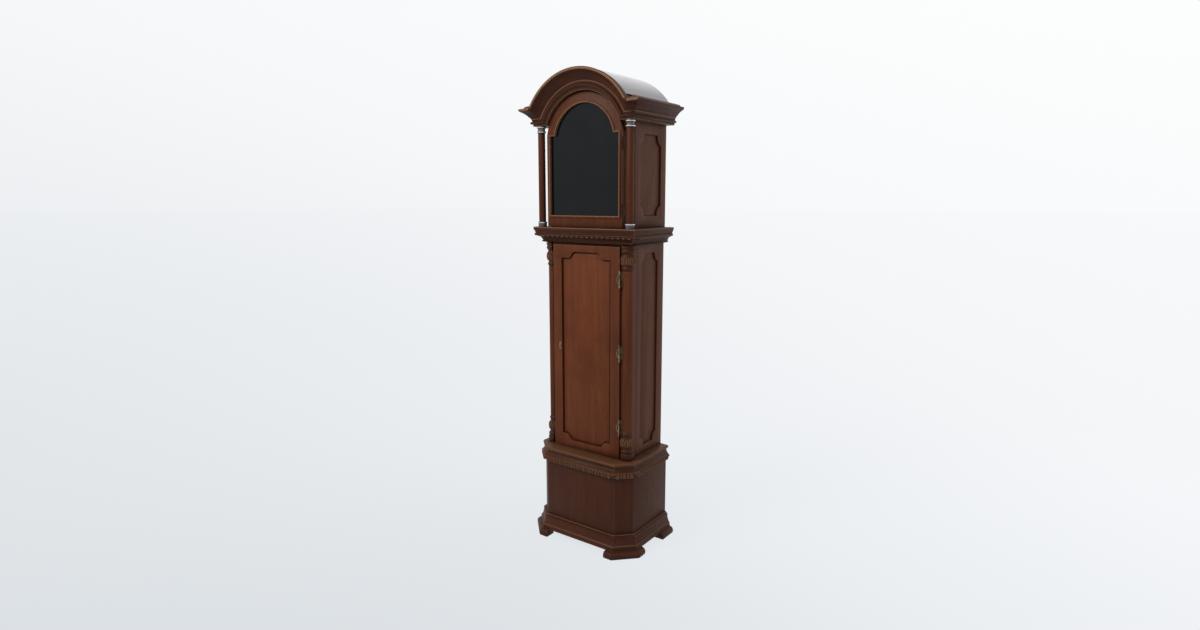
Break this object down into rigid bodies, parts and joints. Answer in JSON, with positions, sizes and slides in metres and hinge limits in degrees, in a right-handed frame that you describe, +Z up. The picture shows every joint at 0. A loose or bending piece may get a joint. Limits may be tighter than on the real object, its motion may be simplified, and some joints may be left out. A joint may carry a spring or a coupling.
{
  "type": "longcase clock",
  "caption": "Tall wooden floor clock with an arched sliding hood, a glazed hood door, a shaped trunk door between quarter columns and a moulded plinth on bracket feet.",
  "frame": {"origin": "on the floor under the middle of the case, at the centre of its bounding box", "axes": "+Z up, the clock faces -Y, +X to the viewer's right when looking at the front"},
  "size_m": [0.6238, 0.3872, 2.1011],
  "materials": {
    "mahogany": "polished",
    "red_panel": "polished",
    "plain_wood": "plain",
    "roof": "painted",
    "brass": "satin",
    "silvered": "bright",
    "steel": "satin",
    "lead": "plain",
    "glass": "clear",
    "gut": "plain"
  },
  "bodies": {
    "case": {"feet_front": "mahogany", "feet_back": "mahogany", "skirt_moulding": "mahogany", "plinth_corners": "mahogany", "plinth_sides": "mahogany", "base_moulding": "mahogany", "trunk_side_left": "mahogany", "trunk_side_right": "mahogany", "trunk_front_frame": "mahogany", "quarter_column_left": "mahogany", "quarter_column_right": "mahogany", "quarter_column_ends": "mahogany", "waist_moulding": "mahogany", "plinth_front": "red_panel", "trunk_side_panels": "red_panel", "plinth_bottom": "plain_wood", "backboard": "plain_wood", "seat_supports": "plain_wood", "seat_board": "plain_wood", "trunk_hinge_case_leaves": "brass", "movement_plates": "brass", "movement_pillars": "brass", "dial": "brass", "back_cock": "brass", "gut_line_ends": "gut"},
    "trunk_door": {"trunk_door_frame": "mahogany", "trunk_door_panel": "red_panel", "trunk_hinge_door_leaves": "brass", "trunk_door_escutcheon": "brass", "trunk_door_lock": "steel"},
    "lock_bolt": {"trunk_lock_bolt": "steel"},
    "hood": {"hood_base_frame": "mahogany", "hood_side_left": "mahogany", "hood_side_right": "mahogany", "hood_side_panels": "red_panel", "hood_front_frame": "mahogany", "hood_cornice": "mahogany", "hood_roof": "roof", "hood_column_left": "mahogany", "hood_column_right": "mahogany", "hood_column_mounts": "silvered", "hood_hinge_leaves": "brass"},
    "hood_door": {"hood_door_frame": "mahogany", "hood_door_glass": "glass", "hood_door_hinge_leaves": "brass"},
    "minute_hand": {"minute_hand": "steel"},
    "hour_hand": {"hour_hand": "steel"},
    "minute_wheel": {"minute_wheel": "brass"},
    "escape_wheel": {"escape_wheel": "brass"},
    "third_wheel": {"third_wheel": "brass"},
    "centre_wheel": {"centre_wheel": "brass"},
    "great_wheel": {"great_wheel": "brass"},
    "pendulum": {"pendulum_rod": "steel", "pendulum_bob": "brass"},
    "anchor": {"anchor": "steel"},
    "weight": {"weight": "lead", "gut_line": "gut", "gut_line_bight": "gut"},
    "barrel": {"barrel": "brass"},
    "pulley": {"weight_pulley": "brass"}
  },
  "joints": [
    {"name": "trunk_door_hinge", "type": "hinge", "parent": "case", "child": "trunk_door", "pos_m": [0.1815, -0.1024, 0.91], "axis": [0, 0, 1], "range_deg": [0, 110]},
    {"name": "lock_bolt_slide", "type": "slide", "parent": "trunk_door", "child": "lock_bolt", "axis": [-1, 0, 0], "range_m": [0, 0.01]},
    {"name": "hood_slide", "type": "slide", "parent": "case", "child": "hood", "axis": [0, -1, 0], "range_m": [0, 0.34]},
    {"name": "hood_door_hinge", "type": "hinge", "parent": "hood", "child": "hood_door", "pos_m": [0.2004, -0.1129, 1.655], "axis": [0, 0, 1], "range_deg": [0, 100]},
    {"name": "minute_hand_turn", "type": "hinge", "parent": "case", "child": "minute_hand", "pos_m": [0, 0.0436, 1.678], "axis": [0, 1, 0], "continuous": true},
    {"name": "hour_hand_turn", "type": "hinge", "parent": "case", "child": "hour_hand", "pos_m": [0, 0.0436, 1.678], "axis": [0, 1, 0], "continuous": true},
    {"name": "minute_wheel_turn", "type": "hinge", "parent": "case", "child": "minute_wheel", "pos_m": [-0.0178, 0.0436, 1.66016], "axis": [0, 1, 0], "continuous": true},
    {"name": "escape_turn", "type": "hinge", "parent": "case", "child": "escape_wheel", "pos_m": [0, 0.0436, 1.71478], "axis": [0, 1, 0], "continuous": true},
    {"name": "third_turn", "type": "hinge", "parent": "case", "child": "third_wheel", "pos_m": [-0.015, 0.0436, 1.69862], "axis": [0, 1, 0], "continuous": true},
    {"name": "centre_turn", "type": "hinge", "parent": "case", "child": "centre_wheel", "pos_m": [0, 0.0436, 1.678], "axis": [0, 1, 0], "continuous": true},
    {"name": "great_turn", "type": "hinge", "parent": "case", "child": "great_wheel", "pos_m": [0.028, 0.0436, 1.65085], "axis": [0, 1, 0], "continuous": true},
    {"name": "pendulum_swing", "type": "hinge", "parent": "case", "child": "pendulum", "pos_m": [0, 0.0936, 1.74307], "axis": [0, 1, 0], "range_deg": [-3, 3]},
    {"name": "anchor_rock", "type": "hinge", "parent": "case", "child": "anchor", "pos_m": [0, 0.0436, 1.74307], "axis": [0, 1, 0], "range_deg": [-3, 3]},
    {"name": "weight_rise", "type": "slide", "parent": "case", "child": "weight", "axis": [0, 0, 1], "range_m": [0, 0.9], "deforming": ["gut_line"]},
    {"name": "barrel_turn", "type": "hinge", "parent": "case", "child": "barrel", "pos_m": [0.028, 0.0336, 1.65085], "axis": [0, 1, 0], "range_deg": [0, 3910]},
    {"name": "pulley_turn", "type": "hinge", "parent": "weight", "child": "pulley", "pos_m": [0.028, 0.0336, 0.545], "axis": [0, 1, 0], "range_deg": [0, 1955]}
  ],
  "couplings": [
    {"joint": "hour_hand_turn", "follows": "minute_hand_turn", "ratio": 0.083333},
    {"joint": "minute_wheel_turn", "follows": "minute_hand_turn", "ratio": -0.5},
    {"joint": "third_turn", "follows": "escape_turn", "ratio": -0.125},
    {"joint": "centre_turn", "follows": "escape_turn", "ratio": 0.016667},
    {"joint": "great_turn", "follows": "escape_turn", "ratio": -0.0013889},
    {"joint": "anchor_rock", "follows": "pendulum_swing", "ratio": 1},
    {"joint": "barrel_turn", "follows": "weight_rise", "rad_per_m": 75.758},
    {"joint": "pulley_turn", "follows": "weight_rise", "rad_per_m": 37.879}
  ]
}
